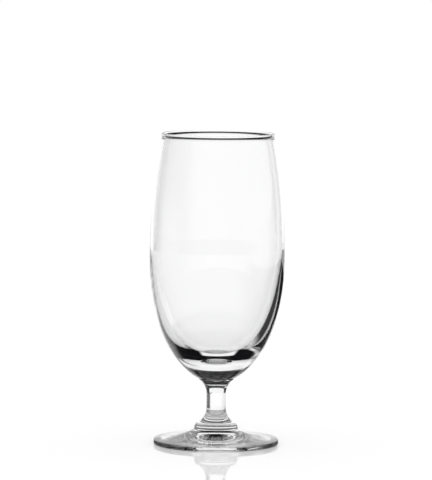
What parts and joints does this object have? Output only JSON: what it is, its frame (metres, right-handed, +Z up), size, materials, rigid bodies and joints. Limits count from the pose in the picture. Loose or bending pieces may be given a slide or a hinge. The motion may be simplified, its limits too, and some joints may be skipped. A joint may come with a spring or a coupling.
{
  "type": "stemmed beer glass",
  "caption": "Clear glass goblet for beer: tall egg-shaped bowl with a rounded lip and thick base, short flared stem, and a swept round foot with a rounded hub.",
  "frame": {"origin": "centre of the foot's underside, on the plane the glass stands on", "axes": "+Z up along the axis the glass is turned about; X and Y are alike, because the glass is round"},
  "size_m": [0.0758, 0.0758, 0.175],
  "materials": {
    "clear_glass": "clear soda-lime glass, fire-polished and glossy, almost colourless with a faint cool tint where it is thick"
  },
  "bodies": {
    "root": {"foot": "clear_glass", "stem": "clear_glass", "bowl": "clear_glass"}
  },
  "joints": []
}
